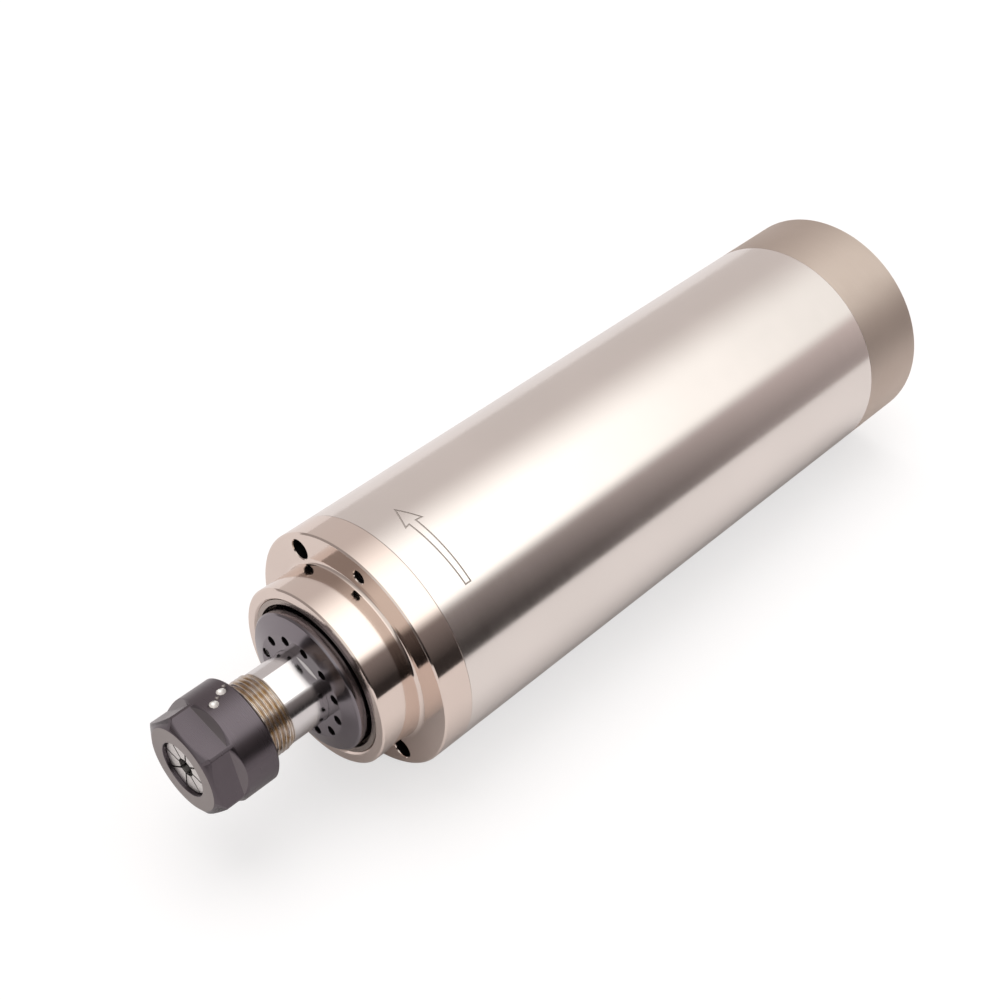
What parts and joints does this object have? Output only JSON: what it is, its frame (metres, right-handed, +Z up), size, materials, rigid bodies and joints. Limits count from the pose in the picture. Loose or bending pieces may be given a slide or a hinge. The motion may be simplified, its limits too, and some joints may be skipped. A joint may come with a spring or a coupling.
{
  "type": "motor spindle",
  "caption": "Round water-cooled milling motor spindle with a pilot boss, a balance ring and a hexagonal collet nut on its nose.",
  "frame": {"origin": "on the spindle axis, in the front face of the flange", "axes": "+X along the spindle axis towards the rear, -X towards the collet; +Z up; the flange hole pair lies 54.2 degrees from +Y towards +Z"},
  "size_m": [0.3215, 0.08, 0.08],
  "materials": {
    "polished_steel": "ground and nickel plated, mirror bright",
    "satin_cap": "turned satin",
    "plain_steel": "machined",
    "bearing_steel": "ground",
    "shaft_steel": "ground, with an oil film on the thread",
    "screw_steel": "zinc plated",
    "black_oxide": "black oxide, satin",
    "collet_steel": "hardened and ground",
    "lamination": "stacked sheets",
    "aluminium": "machined",
    "copper": "enamelled copper",
    "brass": "turned brass",
    "plated_shell": "nickel plated",
    "pin_plating": "silver plated",
    "black_plastic": "moulded",
    "cage_resin": "phenolic resin",
    "lead_insulation": "silicone insulation",
    "seal_rubber": "moulded"
  },
  "bodies": {
    "housing": {"front_housing": "polished_steel", "front_clamp_ring": "plain_steel", "flange_lock_screw": "black_oxide", "body_tube": "polished_steel", "cooling_sleeve": "aluminium", "front_o_ring": "seal_rubber", "rear_o_ring": "seal_rubber", "stator_core": "lamination", "stator_windings": "copper", "rear_bearing_housing": "aluminium", "preload_springs": "plain_steel", "front_outer_race_a": "bearing_steel", "front_outer_race_b": "bearing_steel", "front_outer_spacer": "plain_steel", "rear_outer_race_a": "bearing_steel", "rear_outer_race_b": "bearing_steel", "rear_cap": "satin_cap", "rear_cap_screws": "screw_steel", "coolant_pipes": "copper", "water_inlet_nipple": "brass", "water_outlet_nipple": "brass", "power_socket_shell": "plated_shell", "power_socket_insert": "black_plastic", "power_socket_pins": "pin_plating", "power_socket_nut": "plated_shell", "motor_leads": "lead_insulation"},
    "rotor": {"spindle_shaft": "shaft_steel", "front_balance_ring": "black_oxide", "balance_set_screw": "screw_steel", "front_inner_race_a": "bearing_steel", "front_inner_race_b": "bearing_steel", "front_inner_spacer": "plain_steel", "rotor_core": "lamination", "rotor_cage": "aluminium", "rear_inner_race_a": "bearing_steel", "rear_inner_race_b": "bearing_steel", "shaft_locknut": "plain_steel"},
    "front_cage_a": {"front_ball_cage_a": "cage_resin", "front_balls_a": "bearing_steel"},
    "front_cage_b": {"front_ball_cage_b": "cage_resin", "front_balls_b": "bearing_steel"},
    "rear_cage_a": {"rear_ball_cage_a": "cage_resin", "rear_balls_a": "bearing_steel"},
    "rear_cage_b": {"rear_ball_cage_b": "cage_resin", "rear_balls_b": "bearing_steel"},
    "collet": {"collet": "collet_steel"},
    "nut": {"collet_nut": "black_oxide", "collet_nut_ring": "plain_steel"}
  },
  "joints": [
    {"name": "rotor_spin", "type": "hinge", "parent": "housing", "child": "rotor", "pos_m": [0, 0, 0], "axis": [1, 0, 0], "continuous": true},
    {"name": "collet_slide", "type": "slide", "parent": "rotor", "child": "collet", "axis": [-1, 0, 0], "range_m": [0, 0.0061]},
    {"name": "nut_turn", "type": "hinge", "parent": "collet", "child": "nut", "pos_m": [-0.0525, 0, 0], "axis": [-1, 0, 0], "range_deg": [0, 1440]},
    {"name": "front_cage_a_spin", "type": "hinge", "parent": "housing", "child": "front_cage_a", "pos_m": [0.006, 0, 0], "axis": [1, 0, 0], "continuous": true},
    {"name": "front_cage_b_spin", "type": "hinge", "parent": "housing", "child": "front_cage_b", "pos_m": [0.026, 0, 0], "axis": [1, 0, 0], "continuous": true},
    {"name": "rear_cage_a_spin", "type": "hinge", "parent": "housing", "child": "rear_cage_a", "pos_m": [0.1925, 0, 0], "axis": [1, 0, 0], "continuous": true},
    {"name": "rear_cage_b_spin", "type": "hinge", "parent": "housing", "child": "rear_cage_b", "pos_m": [0.2015, 0, 0], "axis": [1, 0, 0], "continuous": true}
  ],
  "couplings": [
    {"joint": "collet_slide", "follows": "nut_turn", "m_per_rad": 0.00023873},
    {"joint": "front_cage_a_spin", "follows": "rotor_spin", "ratio": 0.41181},
    {"joint": "front_cage_b_spin", "follows": "rotor_spin", "ratio": 0.41181},
    {"joint": "rear_cage_a_spin", "follows": "rotor_spin", "ratio": 0.39868},
    {"joint": "rear_cage_b_spin", "follows": "rotor_spin", "ratio": 0.39868}
  ]
}
